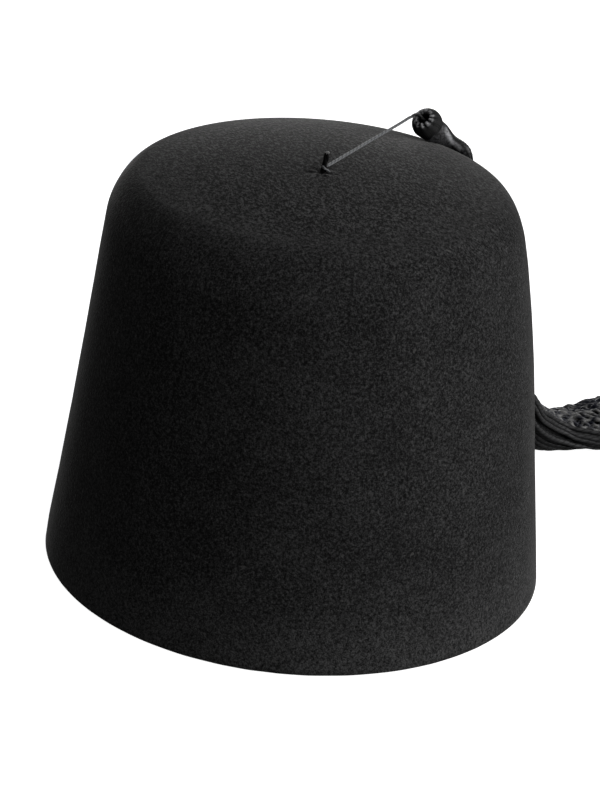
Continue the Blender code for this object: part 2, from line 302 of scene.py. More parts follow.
def ply_material(name, dark, light, pitch, plies, roughness, spread, shine=0.5, depth=0.00012):
    """Twisted thread: grooves that wind round it, one for each ply, painted dark as painted shade between
    the plies. Each strand has its own tone, with any painted light and shade that its builder adds, and
    the tones lie as far apart as the spread says."""
    graph = Graph(bpy.data.materials.new(name), Specular_IOR_Level=shine)
    graph.set(Sheen_Weight=shine * 0.16, Sheen_Roughness=0.4)
    around, along = graph.around_along()
    groove = 1.0 - ((around * plies + along / pitch) * math.pi).sine().size()
    deep = groove**2.5
    fine = graph.noise(graph.place(), 3000.0, 2.0, 0.6)
    own = graph.attribute("tone")
    # painted shade: the grooves between the plies are darker, by deep
    tone = ((own - 0.5) * spread * 2.0 + (fine - 0.5) * 1.2 + 0.48 - deep * 0.6).held()
    graph.set(Base_Color=graph.mix(tone, dark, light))
    graph.set(Roughness=(deep * 0.25 + roughness + (fine - 0.5) * 0.15).held())
    return graph.set(Normal=graph.bump(fine * 0.25 - groove * groove, depth))


# Surfaces.


def unit(vectors):
    return vectors / np.linalg.norm(vectors, axis=-1, keepdims=True)


def direction(degrees, dip=0.0):
    """The way that points so many degrees round from +X and so many below level."""
    around, down = np.broadcast_arrays(np.radians(degrees), np.radians(dip))
    return np.stack([np.cos(around) * np.cos(down), np.sin(around) * np.cos(down), -np.sin(down)], axis=-1)


def eased(value, low, high):
    """0 at low, 1 at high, with level ends."""
    value = np.clip((value - low) / (high - low), 0, 1)
    return value * value * (3 - 2 * value)


def bell(value, middle, width):
    """1 at the middle, falling off to both sides as a bell curve does."""
    return np.exp(-(((value - middle) / width) ** 2))


def lengths_along(places):
    """How far along its path each point lies, for paths shaped (..., points, 3)."""
    steps = np.linalg.norm(np.diff(places, axis=-2), axis=-1)
    return np.concatenate([np.zeros((*steps.shape[:-1], 1)), np.cumsum(steps, axis=-1)], axis=-1)


def smooth_rows(rows, shares):
    """Rows read off natural cubics through the given ones, whose first three columns are a place. The
    cubics run on the distance between places, and the new rows lie at these shares of the whole."""
    rows = np.asarray(rows, dtype=float)
    along = lengths_along(rows[:, :3])
    width = np.diff(along)
    count = len(rows)
    system, pull = np.eye(count), np.zeros_like(rows)
    inner = np.arange(1, count - 1)
    system[inner, inner - 1] = width[:-1]
    system[inner, inner] = 2 * (width[:-1] + width[1:])
    system[inner, inner + 1] = width[1:]
    slopes = np.diff(rows, axis=0) / width[:, None]
    pull[1:-1] = 6 * np.diff(slopes, axis=0)
    bend = np.linalg.solve(system, pull)

    at = along[-1] * np.asarray(shares)
    piece = np.clip(np.searchsorted(along, at, side="right") - 1, 0, count - 2)
    gone, left, span = (v[:, None] for v in (at - along[piece], along[piece + 1] - at, width[piece]))
    curve = (bend[piece] * left**3 + bend[piece + 1] * gone**3) / (6 * span)
    return (
        curve
        + (rows[piece] / span - bend[piece] * span / 6) * left
        + (rows[piece + 1] / span - bend[piece + 1] * span / 6) * gone
    )


def grid_corners(rows, columns, closed_rows=False):
    """Corner numbers of the quads between neighbouring rings of a grid whose columns close on
    themselves, and the row and column of each corner, for its place on the map."""
    row_count = rows if closed_rows else rows - 1
    row, column = np.meshgrid(np.arange(row_count), np.arange(columns), indexing="ij")
    rows_of = np.stack([row, row, row + 1, row + 1], axis=-1).reshape(-1, 4)
    columns_of = np.stack([column, column + 1, column + 1, column], axis=-1).reshape(-1, 4)
    return rows_of % rows * columns + columns_of % columns, rows_of, columns_of


def end_fans(rings, sides, tip, first=0):
    """Corner numbers of the triangles that close the first and the last ring of a grid whose points
    are numbered on from first. The two points that they run to are numbered on from tip."""
    here = first + np.arange(sides)
    after = np.roll(here, -1)
    last = (rings - 1) * sides
    low = np.stack([after, here, np.full(sides, tip)], axis=-1)
    high = np.stack([here + last, after + last, np.full(sides, tip + 1)], axis=-1)
    return np.concatenate([low, high])


def make_mesh(name, vertices, quads, quad_map, fans=(), **attributes):
    """A smooth mesh from arrays of places, of four-cornered faces with the map's place of every corner,
    and of three-cornered faces. Each further array is an attribute with a number for every point."""
    mesh = bpy.data.meshes.new(name)
    fans = np.asarray(fans, dtype=np.int32).reshape(-1, 3)
    corners = np.concatenate([quads.ravel(), fans.ravel()]).astype(np.int32)
    totals = np.concatenate([np.full(len(quads), 4), np.full(len(fans), 3)]).astype(np.int32)
    starts = np.concatenate([[0], np.cumsum(totals)[:-1]]).astype(np.int32)
    mesh.vertices.add(len(vertices))
    mesh.vertices.foreach_set("co", np.asarray(vertices, dtype=np.float32).ravel())
    mesh.loops.add(len(corners))
    mesh.loops.foreach_set("vertex_index", corners)
    mesh.polygons.add(len(totals))
    mesh.polygons.foreach_set("loop_start", starts)
    mesh.polygons.foreach_set("loop_total", totals)
    mesh.update(calc_edges=True)
    corner_map = np.concatenate([quad_map.ravel(), np.zeros(2 * fans.size)]).astype(np.float32)
    mesh.uv_layers.new(name="UVMap").data.foreach_set("uv", corner_map)
    for attribute, values in attributes.items():
        values = np.asarray(values, dtype=np.float32).ravel()
        mesh.attributes.new(attribute, "FLOAT", "POINT").data.foreach_set("value", values)
    mesh.shade_smooth()
    mesh.validate()
    return mesh


def tube_mesh(name, rings, lengths, tones):
    """Closed tubes from rings of points, shaped (tubes, rings, sides, 3). Each ring joins the next by
    quads, and each end closes with a fan to the ring's middle. Lengths give the map's v of each ring,
    and tones give each tube's own tone, or each ring's."""
    tubes, count, sides = rings.shape[:3]
    lengths = np.broadcast_to(lengths, (tubes, count))
    tones = np.broadcast_to(np.reshape(tones, (tubes, -1)), (tubes, count))
    quads, rows_of, columns_of = grid_corners(count, sides)
    firsts = np.arange(tubes) * count * sides
    body = (quads + firsts[:, None, None]).reshape(-1, 4)
    around = np.broadcast_to(columns_of / sides, (tubes, *columns_of.shape))
    body_map = np.stack([around, lengths[:, rows_of]], axis=-1)
    tips = tubes * count * sides + 2 * np.arange(tubes)
    fans = np.concatenate([end_fans(count, sides, tip, first) for tip, first in zip(tips, firsts)])
    ends = rings[:, [0, -1]].mean(axis=2).reshape(-1, 3)
    vertices = np.concatenate([rings.reshape(-1, 3), ends])
    tones = np.concatenate([np.repeat(tones, sides), tones[:, [0, -1]].ravel()])
    return make_mesh(name, vertices, body, body_map, fans, tone=tones)


def carried_frames(places, guide):
    """Sideways and outwards at each point of paths shaped (..., points, 3): sideways is square to the
    path's slope and to the guide, and outwards is square to the slope and to sideways."""
    forwards = unit(np.gradient(places, axis=-2))
    sideways = unit(np.cross(forwards, guide))
    return sideways, np.cross(sideways, forwards)


def rings_about(places, first, second, first_way, second_way):
    """A ring of points round each place: so far the first way and so far the second."""
    return (
        places[..., None, :]
        + first[..., None] * first_way[..., None, :]
        + second[..., None] * second_way[..., None, :]
    )


def twisted_tube(name, places, guide, radius, pitch, plies, depth, sides, tones, lengths=None):
    """Tubes whose section is a ring of plies, each a lobe: the radius is less by a share of itself where
    the sine of half the plies' angle is near 0, and that angle grows by a full turn in each pitch."""
    places = places.reshape(-1, *places.shape[-2:])
    lengths = lengths_along(places) if lengths is None else np.reshape(lengths, (-1, places.shape[1]))
    sideways, outwards = carried_frames(places, guide)
    around = np.arange(sides) * math.tau / sides
    lobes = np.abs(np.sin((plies * around + math.tau * lengths[..., None] / pitch) / 2))
    section = np.asarray(radius)[..., None] * (1 - depth * (1 - lobes) ** 1.5)
    rings = rings_about(places, section * np.cos(around), section * np.sin(around), outwards, sideways)
    return tube_mesh(name, rings, lengths, tones)


def finish_piece(mesh, material, slot, *nodes):
    mesh.materials.append(material)
    piece = bpy.data.objects.new(mesh.name, mesh)
    bpy.context.scene.collection.objects.link(piece)
    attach(piece, "root")
    if nodes:
        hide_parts(*nodes)
    return piece


# The crown.

SOFT_TURN = math.radians(-98.0)  # the heading at which the shoulder is softest
QUARTER_ARC = math.sqrt(0.5)  # weight of the middle point of a conic that rounds like a circle

# How far the felt stands out on the left and on the right, by height, all in millimetres.
LEFT_HEIGHTS = (0, 8, 26, 54, 81, 100, 112, 127, 138, 148)
LEFT_SWELL = (0.0, 0.1, -0.6, -0.95, -0.75, -0.3, 0.1, 0.5, 0.2, 0.0)
RIGHT_HEIGHTS = (0, 13, 30, 48, 83, 101, 119, 131, 140, 148)
RIGHT_SWELL = (0.1, 0.2, 0.15, 0.15, 0.85, 0.85, 0.45, -0.3, 0.0, 0.0)


def crown_profile(crown, climb, soft):
    """Mean radius and height of the outline. Climb runs 0 to 1 up the wall, which leans in and bulges a
    little, 1 to 2 round the shoulder, which is a conic, and 2 to 3 across the low dome. The shoulder
    takes up more of the wall and of the top where it is soft."""
    base, corner = (crown.base_length + crown.base_width) / 4, (crown.top_length + crown.top_width) / 4
    slant = math.atan2(base - corner, crown.wall_height)
    softer = crown.shoulder_soft * soft
    drop, run = crown.shoulder_drop + softer, crown.shoulder_run + softer
    start = np.stack([corner + drop * math.sin(slant), crown.wall_height - drop * math.cos(slant)], axis=-1)
    peak = np.array([corner, crown.wall_height])
    end = np.stack([corner - run, np.full_like(run, crown.wall_height)], axis=-1)
    wall, bend, across = (np.clip(climb - step, 0, 1)[..., None] for step in range(3))
    straight = np.array([base, 0.0]) * (1 - wall) + start * wall
    first, middle, last = (1 - bend) ** 2, 2 * QUARTER_ARC * bend * (1 - bend), bend**2
    conic = (first * start + middle * peak + last * end) / (first + middle + last)
    top = end * (1 - across) + np.array([0.0, crown.wall_height]) * across
    where = climb[..., None]
    radius, height = np.moveaxis(np.where(where < 1, straight, np.where(where < 2, conic, top)), -1, 0)
    radius = radius + crown.wall_bulge * np.sin(np.pi * np.clip(height / crown.wall_height, 0, 1))
    dome = crown.dome_rise * (1 - np.clip(radius / corner, 0, 1) ** 2)
    return radius, height + dome * np.clip(2 * height / crown.wall_height - 1, 0, 1)


def crown_point(crown, turn, climb, softness=1.0):
    """The profile's radius drawn out into an oval, whose share goes from the rim's to the top's. The
    shoulder is softest in front and a little to the left. Softness 0 gives the CAD source's crown."""
    turn, climb = np.broadcast_arrays(turn, climb)
    soft = softness * np.clip(np.cos(turn - SOFT_TURN), 0, 1) ** 0.7
    radius, height = crown_profile(crown, climb, soft)
    base = (crown.base_length - crown.base_width) / (crown.base_length + crown.base_width)
    top = (crown.top_length - crown.top_width) / (crown.top_length + crown.top_width)
    oval = base + (top - base) * np.clip(height / crown.wall_height, 0, 1)
    place = [radius * (1 - oval) * np.cos(turn), radius * (1 + oval) * np.sin(turn), height]
    return np.stack(place, axis=-1) + HAT_AXIS


def crown_normal(crown, turn, climb):
    """Square to the two tangents, each of which is a central difference."""
    step = 1e-4
    climb = np.clip(climb, step, 3 - 2 * step)
    around = crown_point(crown, turn + step, climb) - crown_point(crown, turn - step, climb)
    upwards = crown_point(crown, turn, climb + step) - crown_point(crown, turn, climb - step)
    return unit(np.cross(around, upwards))


def felt_swell(crown, place, turn, climb):
    """How far the felt stands out. Its left side is drawn in at half height and its right side stands
    out higher up, each by a lobe round its own heading; a few long waves run round the wall; and the
    stem's hole is a bell sunk into the top, with folds that run into it."""
    height = place[..., 2] / MM
    left = np.interp(height, LEFT_HEIGHTS, LEFT_SWELL) * np.clip(np.cos(turn - math.pi), 0, 1) ** 4
    right = np.interp(height, RIGHT_HEIGHTS, RIGHT_SWELL) * np.clip(np.cos(turn + 0.21), 0, 1) ** 6
    waves = np.sin(2 * turn + 0.7 + climb)
    waves = waves + 0.8 * np.sin(3 * turn - 1.3 + 4 * climb) + 0.5 * np.sin(5 * turn + 6 * climb)
    waves = crown.wave * waves / 2 * eased(climb, 0, 0.2) * (1 - eased(climb, 1.2, 2.0))
    offset = place - (stem_foot(crown) + [-0.0008, -0.0015, 0.0])
    far = np.hypot(offset[..., 0], offset[..., 1])
    angle = np.arctan2(offset[..., 1], offset[..., 0])
    dimple = crown.dimple * bell(far, 0.0, 0.0013)
    folds = 0.00020 * np.sin(5 * angle + 0.6) * bell(far, 0.0030, 0.0020)
    return (left + right) * MM + waves + (folds - dimple) * (climb > 2)


def build_crown(crown):
    """One grid from the middle of the lining side down to the rim, round the cut edge and up the outside
    to the middle of the top. Each row lies some depth of felt within the outside; the two ends close."""
    sides = 288
    edge_climb = crown.edge / (crown.wall_height - crown.shoulder_drop)
    outside = np.concatenate(
        [
            np.linspace(edge_climb, 1, 60, endpoint=False),
            np.linspace(1, 2, 28, endpoint=False),
            3 - np.linspace(1, 0.004, 60) ** 1.8,
        ]
    )
    inside = np.concatenate(
        [
            3 - np.linspace(0.01, 1, 12, endpoint=False),
            2 - np.linspace(0, 1, 12, endpoint=False),
            1 - np.linspace(0, 1 - edge_climb, 20),
        ]
    )
    edge_turn = np.linspace(math.pi, 0, 9)[1:-1]
    climbs = np.concatenate([inside, np.full(len(edge_turn), edge_climb), outside])[:, None]
    edge_depths = crown.felt * (1 - np.cos(edge_turn)) / 2
    depths = np.concatenate([np.full(len(inside), crown.felt), edge_depths, np.zeros(len(outside))])[:, None]
    turns = np.arange(sides) * math.tau / sides
    turn, climb = np.broadcast_arrays(turns, climbs)
    place = crown_point(crown, turn, climb)
    swell = felt_swell(crown, place, turn, climb)
    place = place + (swell - depths)[..., None] * crown_normal(crown, turn, climb)
    lip = slice(len(inside) - 1, len(inside) + len(edge_turn) + 1)
    lip_turn = np.concatenate([[math.pi], edge_turn, [0.0]])[:, None]
    ragged = 0.00008 * (1 + np.sin(31 * turns + 2 * np.sin(7 * turns)) * np.sin(13 * turns))
    place[lip, :, 2] = crown.edge * (1 - np.sin(lip_turn)) + ragged * np.sin(lip_turn)
    peak = crown_point(crown, np.zeros(1), np.full(1, 3.0))
    vertices = np.concatenate([place.reshape(-1, 3), peak - [0, 0, crown.felt], peak])
    quads, rows_of, columns_of = grid_corners(len(climbs), sides)
    quad_map = np.stack([columns_of / sides, rows_of / len(climbs)], axis=-1)
    fans = end_fans(len(climbs), sides, len(vertices) - 2)
    top = eased(np.concatenate([climb.ravel(), [3.0, 3.0]]), 1.5, 2.4)
    far = np.linalg.norm(vertices[:, :2] - stem_foot(crown)[:2] - [-0.0004, -0.0004], axis=1)
    # where the felt is painted near black, as painted shade in the stem's hole
    hole = np.exp(-((far / 0.0009) ** 4)) * (vertices[:, 2] > crown.wall_height)
    mesh = make_mesh("felt_crown", vertices, quads, quad_map, fans, top=top, hole=hole)
    finish_piece(mesh, felt_material(crown), "black_felt", "crown")


# Where the CAD source seats the other pieces. Distances in its tables are in millimetres.

GAP = 0.0003  # between neighbours
STEM_FORWARD = 0.0055  # of the middle of the top
BEAD_TURN, BEAD_CLIMB, BEAD_STAND = 45.4, 2.02, 0.00575  # heading, climb and distance out from the felt
BEAD_AXIS = direction(46.0, 45.0)  # from the bead's face to its low end
BEAD_LENGTH = 0.0080
CORD_OUT, CORD_UP = 0.0024, 0.0012  # where the cord starts: out from the stem's middle, over the felt
CORD_STRAIGHT = (0.0, 0.3, 0.6, 0.85, 0.95, 0.985)  # shares of the way to the lip, all in one line
CORD_POINTS, CORD_CROWDING = 36, 1.5
MOUTH_RISE = 0.1  # the lip is crossed this much upwards for each part sideways
MOUTH_ROWS = (
    # where the cord turns over the lip: distance from the bead's axis and past its face
    (3.6, -1.25),
    (2.7, -1.25),
    (1.7, -0.80),
    (1.1, 0.1),
    (0.8, 1.2),
    (0.2, 3.4),
    (0.0, 6.0),
    (0.0, 9.6),
)
NECK_WAY = direction(6.0, 35.0)
NECK_ROWS = (
    # distance from the bead's middle, half width, half thickness
    (5.1, 3.6, 3.6),
    (6.5, 3.5, 3.5),
    (8.5, 2.9, 2.9),
)
BEND_ROWS = (
    # x, y and height from the hat's axis, heading, half width, half thickness
    (52.9, 49.4, 141.6, 38.0, 2.7, 2.5),
    (56.2, 48.0, 139.3, 38.0, 4.4, 2.6),
)
WALL_HEADING = 38.0
WALL_ROWS = (
    # heading from the hat's axis, climb, half width, half thickness
    (39.8, 1.22, 5.4, 2.8),
    (39.2, 0.98, 6.6, 3.2),
    (38.8, 0.80, 8.0, 3.8),
)
FALL_ROWS = (
    # x, y and height from the hat's axis, heading, half width, half thickness
    (69.7, 57.4, 70.0, 40.0, 9.0, 4.6),
    (77.3, 64.4, 50.0, 40.0, 9.6, 5.2),
    (89.9, 74.7, 33.0, 40.5, 10.4, 5.6),
    (96.9, 85.5, 18.6, 41.0, 11.2, 7.7),
    (102.7, 92.9, 12.0, 39.0, 12.0, 8.4),
    (112.2, 100.4, 7.5, 33.0, 13.0, 7.1),
    (122.7, 103.4, 7.4, 24.0, 14.6, 6.9),
    (134.4, 106.4, 6.9, 13.0, 17.6, 8.2),
    (152.0, 110.5, 6.3, 5.0, 18.5, 6.1),
    (170.0, 111.5, 5.8, 2.0, 19.5, 5.6),
)


def stem_foot(crown):
    """On the dome of the CAD source's crown, a little forward of its middle."""
    top_half_length = crown.top_length / 2 - crown.shoulder_run
    return crown_point(crown, -math.pi / 2, 3.0 - STEM_FORWARD / top_half_length, softness=0.0)


def off_felt(crown, degrees, climb, stand):
    """The place that stands so far out from the felt."""
    turn = math.radians(degrees)
    return crown_point(crown, turn, climb) + stand * crown_normal(crown, turn, climb)


def bead_middle(crown):
    return off_felt(crown, BEAD_TURN, BEAD_CLIMB, BEAD_STAND)


def cord_route(crown):
    """Points along the cord, to a hundredth of a millimetre: straight from the stem to the lip of the
    bead, over it and into the bore, and closer together towards the bead."""
    face, foot = bead_middle(crown) - BEAD_AXIS * BEAD_LENGTH / 2, stem_foot(crown)
    start = foot + unit((face - foot) * [1, 1, 0]) * CORD_OUT + [0, 0, CORD_UP]
    across = unit(np.cross(BEAD_AXIS, [0.0, 0.0, 1.0]))
    to_lip = unit(MOUTH_RISE * unit(np.cross(across, BEAD_AXIS)) - across)
    mouth = [face + to_lip * off * MM + BEAD_AXIS * past * MM for off, past in MOUTH_ROWS]
    straight = [start + (mouth[0] - start) * share for share in CORD_STRAIGHT]
    shares = 1 - np.linspace(1, 0, CORD_POINTS) ** CORD_CROWDING
    return np.round(smooth_rows([*straight, *mouth], shares), 5)


def tassel_line(crown):
    """The tassel's rows from the bead to the cut end, to a hundredth of a millimetre: place, heading in
    degrees, half width across the route and half thickness through it."""
    middle = bead_middle(crown) / MM
    rows = [(*(middle + NECK_WAY * past), WALL_HEADING, *shape) for past, *shape in NECK_ROWS]
    rows += [(*(HAT_AXIS / MM + row[:3]), *row[3:]) for row in BEND_ROWS]
    for degrees, climb, wide, thick in WALL_ROWS:
        rows.append((*off_felt(crown, degrees, climb, thick * MM + GAP) / MM, WALL_HEADING, wide, thick))
    rows += [(*(HAT_AXIS / MM + row[:3]), *row[3:]) for row in FALL_ROWS]
    return np.round(rows, 2) * [MM, MM, MM, 1, MM, MM]


def tassel_rows(crown, shares):
    """Place, half width and half thickness along the tassel at these shares of its length, and the
    frame that goes with them."""
    rows = smooth_rows(tassel_line(crown), shares)
    rows[:, 2] = np.maximum(rows[:, 2], rows[:, 5] + REST_GAP)
    place = rows[:, :3]
    forwards = unit(np.gradient(place, axis=0))
    outwards = unit(np.cross(forwards, np.cross([0.0, 0.0, 1.0], direction(rows[:, 3]))))
    return place, rows[:, 4], rows[:, 5], np.cross(outwards, forwards), outwards


# Stem, cord and tie.

TIE_ROWS = (
    # the tie round the stem's foot: distance from the stem's middle, heading, height over the felt
    (1.10, 56.0, 1.55),
    (0.30, 60.0, 1.80),
    (0.60, 250.0, 1.80),
    (1.20, 268.0, 1.60),
    (1.50, 300.0, 1.15),
    (2.00, 325.0, 0.45),
    (2.40, 338.0, -0.50),
)
STEM_AXIS = direction(0.0, -83.0)  # the stub leans right by 7 degrees
STEM_SINK = 0.0006  # how deep the stub stands in its hole
STEM_STRETCH = 1.09  # so that it still reaches its height
STEM_PITCH = 0.0034


def build_cord(cord, crown):
    """A two-ply cord along the route, from the stem over the bead's lip and into its bore, and painted
    darker from the lip on, as painted shade inside the bore."""
    route = cord_route(crown)
    shares = np.linspace(0, 1, 420)
    # painted shade: the cord darkens where it goes over the lip into the bore
    tones = 0.6 - 1.2 * eased(shares, 0.77, 0.82)
    places = smooth_rows(route, shares)
    radius, pitch = cord.cord_diameter / 2, cord.cord_pitch
    mesh = twisted_tube("laid_cord", places, (0.3, -0.25, 1.0), radius, pitch, 2, 0.20, 14, tones)
    dark, light = shade(cord.cord_colour, 0.12), shade(cord.cord_colour, 2.05)
    material = ply_material("cord_thread", dark, light, pitch, 2, 0.42, 0.4)
    piece = finish_piece(mesh, material, "grey_cord", "cord")


def build_tie(cord, crown):
    """The cord's end: from where the cord starts it goes through the stem, comes out in front and
    slants down across the foot into the felt at the right."""
    far, angle, height = np.array(TIE_ROWS).T
    angle = np.radians(angle)
    turned = stem_foot(crown) + np.stack([far * np.cos(angle), far * np.sin(angle), height], axis=-1) * MM
    first, second = cord_route(crown)[:2]
    places = smooth_rows([first + (second - first) * 0.1, *turned], np.linspace(0, 1, 110))
    radius = cord.cord_diameter * 0.40
    mesh = twisted_tube("stem_tie", places, (0.05, 0.02, 1.0), radius, cord.cord_pitch, 2, 0.20, 12, 0.5)
    finish_piece(mesh, bpy.data.materials["cord_thread"], "grey_cord")


def build_stem(cord, crown):
    """A three-ply stub that leans right, thicker at its foot."""
    shares = np.linspace(0, 1, 60)
    lengths = shares * cord.stem_height
    places = stem_foot(crown) + [0, 0, -STEM_SINK] + lengths[:, None] * STEM_AXIS * STEM_STRETCH
    radius = cord.stem_radius * (1 - 0.28 * eased(shares, 0.75, 1.0) + 0.10 * np.sin(9 * shares))
    mesh = twisted_tube(
        "stem_stub", places, (0.0, 1.0, 0.0), radius, STEM_PITCH, 3, 0.30, 18, 0.4, lengths
    )
    dark = (0.0006, 0.0006, 0.0006)
    material = ply_material("stem_thread", dark, cord.stem_colour, STEM_PITCH, 3, 0.8, 0.3, 0.1)
    finish_piece(mesh, material, "stem_black", "stem")


def build_fray(cord, crown):
    """The frayed ends of the stub's plies: short hairs that bend outwards as the square of their run."""
    rng = np.random.default_rng(5)
    count, points = 46, 8
    turn, spread = rng.uniform(0, math.tau, count), rng.uniform(0.1, 0.9, count)
    run = np.linspace(0, 1, points)[None, :, None]
    root = stem_foot(crown) + [0, 0, -STEM_SINK] + STEM_AXIS * cord.stem_height * 0.93 * STEM_STRETCH
    out = (np.stack([np.cos(turn), np.sin(turn), np.zeros(count)], axis=-1) * spread[:, None])[:, None]
    reach = rng.uniform(0.0005, 0.0014, count)[:, None, None]
    places = root + out * cord.stem_radius * 0.70 + run * reach * STEM_AXIS + run**2 * out * 0.0003
    places = places + rng.normal(0, 0.00002, places.shape)
    tones = rng.uniform(0, 1, count)
    lengths = np.broadcast_to(run[..., 0] * 0.001, (count, points))
    thin = 0.00012 * (1 - 0.6 * run[..., 0])
    mesh = twisted_tube("stem_fray", places, (0.2, 1.0, 0.1), thin, 0.01, 2, 0.0, 5, tones, lengths)
    # painted highlight: the hairs are pale where the stub's cut end catches light
    material = ply_material("stem_fray", (0.12, 0.12, 0.12), (0.42, 0.42, 0.42), 0.002, 2, 0.6, 0.6)
    finish_piece(mesh, material, "stem_black")


# Bead and neck.

NECK_END = 0.047  # the share of the tassel's length where the wound neck ends
BEAD_NUDGE = np.array([-0.0005, 0.0002, 0.0004])  # the dressed bead's place from the CAD bead's
BEAD_KNOTS = (
    # radius and distance past the face, in millimetres: up the outside and back through the bore
    (3.45, -0.20),
    (4.45, 0.70),
    (5.25, 2.20),
    (5.50, 4.00),
    (5.15, 5.80),
    (4.30, 7.35),
    (3.45, 8.05),
    (2.55, 8.15),
    (2.05, 7.30),
    (1.95, 4.20),
    (2.05, 1.10),
    (2.55, -0.35),
)


def closed_curve(knots, count):
    """Points on the closed Catmull-Rom curve through the knots, the same number between each two."""
    knots = np.asarray(knots, dtype=float)
    t = np.linspace(0, 1, count, endpoint=False)[None, :, None]
    before, start, end, after = (np.roll(knots, shift, axis=0)[:, None] for shift in (1, 0, -1, -2))
    curve = 0.5 * (
        2 * start
        + (end - before) * t
        + (2 * before - 5 * start + 4 * end - after) * t**2
        + (3 * start - before - 3 * end + after) * t**3
    )
    return curve.reshape(-1, 2)


def build_bead(bead, crown):
    """A ball with a bore, wound over its lips: a closed outline of radius and height, spun about the
    bead's axis. The outline stands out by ridges, thick at the lips and fine round the middle. On the
    side away from the front the thick ridges are matted, so they are shallow there."""
    outline = closed_curve(BEAD_KNOTS, 11) * MM
    slope = unit(np.roll(outline, -1, axis=0) - np.roll(outline, 1, axis=0))
    outwards = np.stack([slope[:, 1], -slope[:, 0]], axis=-1)
    sides = 198
    turn = np.arange(sides) * math.tau / sides
    radius, height = outline[:, :1], outline[:, 1:]
    distinct = eased(np.cos(turn - 0.70), -0.3, 0.5)
    at_ends = np.abs(height - BEAD_LENGTH / 2) > 0.003
    lip = bell(radius, 0.0029 + 0.0004 * distinct, 0.0010) * at_ends
    slant = 0.22 * np.sin(height / BEAD_LENGTH * math.pi)
    uneven = 0.06 * np.sin(3 * turn + 1.0)
    thick = np.abs(np.cos(bead.wraps * (turn + slant + uneven) / 2))
    thick = 0.72 + (thick - 0.72) * (0.25 + 0.75 * distinct)
    fine = np.abs(np.cos(bead.wraps * 2 * (turn + slant) + 0.4))
    ridge = bead.wrap_height * (lip + 0.12) * (thick - 0.6) + 0.00012 * (1 - lip) * (fine - 0.5)
    ridge = ridge * (radius > 0.0022)
    # painted light and shade: lighter on the wraps' crests, darker between the wraps, and dimmed round the
    # front side away from the lit arc
    crest, lip = np.broadcast_arrays(thick * (1 - 0.22 * distinct * (1 - np.cos(turn - 0.2))), lip)
    radius, height = radius + ridge * outwards[:, :1], height + ridge * outwards[:, 1:]
    side = unit(np.cross(BEAD_AXIS, [0.0, 0.0, 1.0]))
    place = (
        bead_middle(crown)
        + BEAD_NUDGE
        - BEAD_AXIS * BEAD_LENGTH / 2
        + (radius * np.cos(turn))[..., None] * side
        + (radius * np.sin(turn))[..., None] * np.cross(BEAD_AXIS, side)
        + height[..., None] * BEAD_AXIS
    )
    quads, rows_of, columns_of = grid_corners(len(outline), sides, closed_rows=True)
    quad_map = np.stack([columns_of / sides, rows_of / len(outline)], axis=-1)
    mesh = make_mesh("wound_bead", place.reshape(-1, 3), quads, quad_map, crest=crest, lip=lip)
    finish_piece(mesh, bead_material(bead), "wound_black_thread", "bead")


def bead_material(bead):
    """Floss: fine filaments that run over the wraps, nearly black on the barrel and glossy at the lip. They
    are painted pale where they turn over the lip, as a painted highlight, and darker between the wraps,
    as painted shade."""
    graph = Graph(bpy.data.materials.new("bead_threads"), Specular_IOR_Level=0.22, Coat_Roughness=0.3)
    around, _ = graph.around_along()
    crest, lip = graph.attribute("crest"), graph.attribute("lip")
    filaments = (around * (bead.wraps * 9 * math.pi)).sine().size()
    fuzz = graph.noise(graph.place(), 1400.0, 2.0, 0.6)
    tone = (crest.between(0.40, 0.95) * 0.9 + (filaments - 0.5) * 0.2 + (fuzz - 0.5) * 2.6).held()
    # painted highlight: towards the lip the colour runs up to the lip's highlight colour
    pale = graph.mix(lip.between(0.30, 0.85), shade(bead.bead_colour, 2.0), bead.lip_highlight_colour)
    graph.set(Base_Color=graph.mix(tone, shade(bead.bead_colour, 0.3), pale))
    graph.set(Coat_Weight=(lip * tone * 0.6).held(), Roughness=(0.60 - lip * 0.25).held())
    return graph.set(Normal=graph.bump(filaments * 0.6 + fuzz * 0.9, 0.00018))


def build_neck(bead, crown):
    """The thread wound round the tassel's neck: a tube round its route whose radius swells once for
    each turn of the thread, and the swelling climbs round the tube as the thread does. Its upper end is
    a cone that starts inside the bead's low end, in line with it, and it sags on to the felt."""
    count, sides = 200, 48
    shares = np.linspace(-0.009, NECK_END, count)
    place, wide, thick, sideways, outwards = tassel_rows(crown, shares)
    cone = (1 - eased(shares, -0.004, 0.022))[:, None]
    place = place + cone * [-0.0010, 0.0007, 0.0]
    wide, thick = wide[:, None] + 0.0008 * cone, thick[:, None] + 0.0008 * cone
    lengths = lengths_along(place)
    around = np.arange(sides) * math.tau / sides
    winds = np.abs(np.cos(math.pi * lengths[:, None] / bead.thread_pitch + around / 2))
    proud = bead.thread_pitch * (0.30 * winds - 0.12)
    sag = np.where(np.sin(around) < 0, 0.0009, 0.0) * (1 - eased(shares, 0.024, 0.034))[:, None]
    across = (wide + proud) * np.cos(around)
    through = (thick + proud + sag) * np.sin(around)
    rings = rings_about(place, across, through, sideways, outwards)
    mesh = tube_mesh("wound_neck", rings[None], lengths, 0.5)
    finish_piece(mesh, neck_material(bead), "wound_black_thread")


